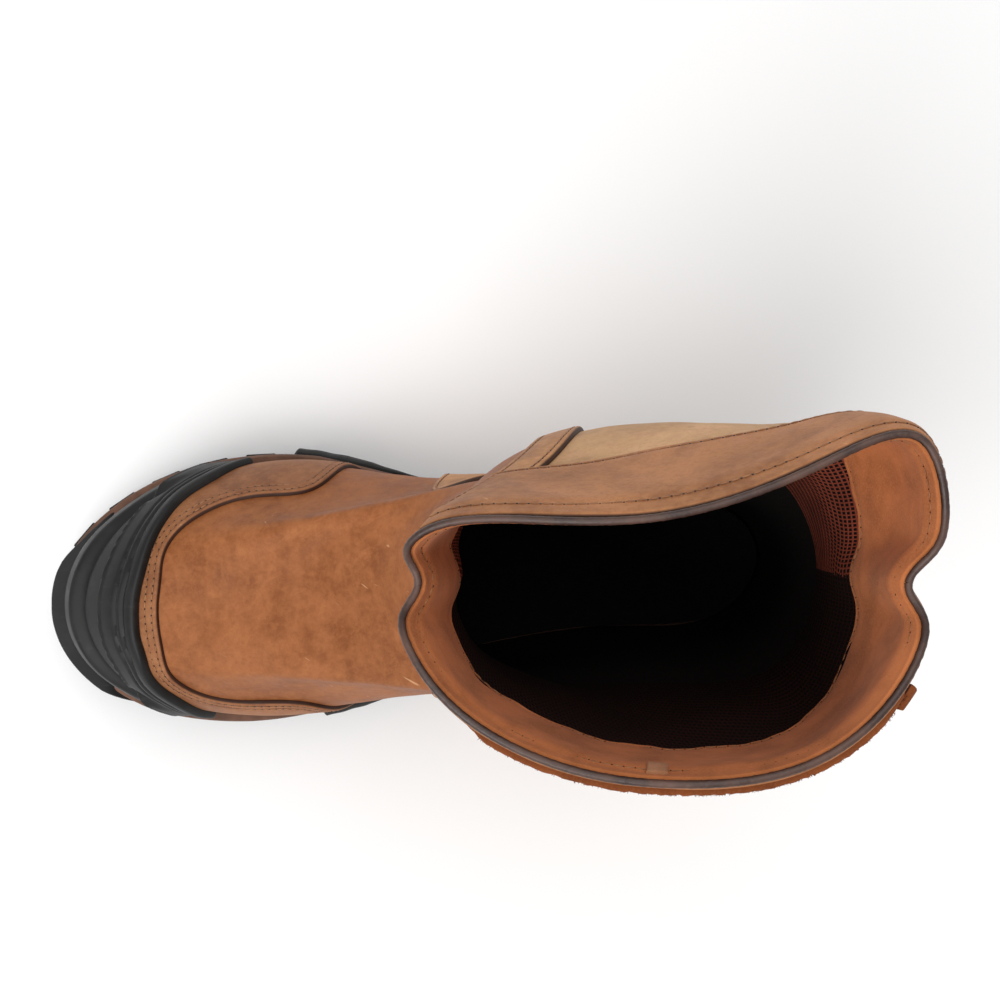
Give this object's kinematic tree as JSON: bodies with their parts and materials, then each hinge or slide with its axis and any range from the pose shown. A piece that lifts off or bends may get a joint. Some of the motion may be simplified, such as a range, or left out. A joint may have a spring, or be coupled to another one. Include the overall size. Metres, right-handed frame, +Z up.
{
  "type": "steel toe work boot",
  "caption": "Right-foot pull-on safety boot in brown leather with a rubber toe bumper, steel toe cap, piped rim and lugged black sole.",
  "frame": {"origin": "centre of the bounding box at the ground, under the sole", "axes": "+X from the toe to the heel, +Y to the outer (lateral) side of the right foot, +Z up"},
  "size_m": [0.3132, 0.1208, 0.2799],
  "materials": {
    "vamp_leather": "oiled pull-up leather, lightly scuffed",
    "trim_leather": "waxed leather, stitched",
    "side_leather": "golden buffed leather",
    "piping_leather": "dark smooth rolled piping",
    "facing_leather": "nubuck",
    "black_rubber": "moulded nitrile rubber, matt",
    "brown_polyurethane": "moulded foam skin",
    "bright_steel": "pressed and deburred",
    "fibre_board": "pressed fibre",
    "footbed_foam": "cloth-covered foam",
    "mesh_lining": "open mesh over dark wadding",
    "felt_lining": "needle felt",
    "sewing_thread": "bonded nylon thread"
  },
  "bodies": {
    "root": {"outsole": "black_rubber", "midsole": "brown_polyurethane", "shank": "bright_steel", "midsole_plate": "bright_steel", "insole_board": "fibre_board", "footbed": "footbed_foam", "toe_cap": "bright_steel", "toe_cap_edge_strip": "black_rubber", "vamp": "vamp_leather", "side_panel_lateral": "side_leather", "side_panel_medial": "side_leather", "side_strip_lateral": "trim_leather", "side_strip_medial": "trim_leather", "toe_mudguard": "trim_leather", "toe_bumper": "black_rubber", "heel_counter": "trim_leather", "heel_stiffener": "fibre_board", "back_stay": "trim_leather", "collar_band_lateral": "trim_leather", "collar_band_medial": "trim_leather", "rim_piping_lateral": "piping_leather", "rim_piping_medial": "piping_leather", "rim_facing_lateral": "facing_leather", "rim_facing_medial": "facing_leather", "vamp_lining": "felt_lining", "heel_lining": "felt_lining", "shaft_lining_lateral": "mesh_lining", "shaft_lining_medial": "mesh_lining"}
  },
  "joints": []
}
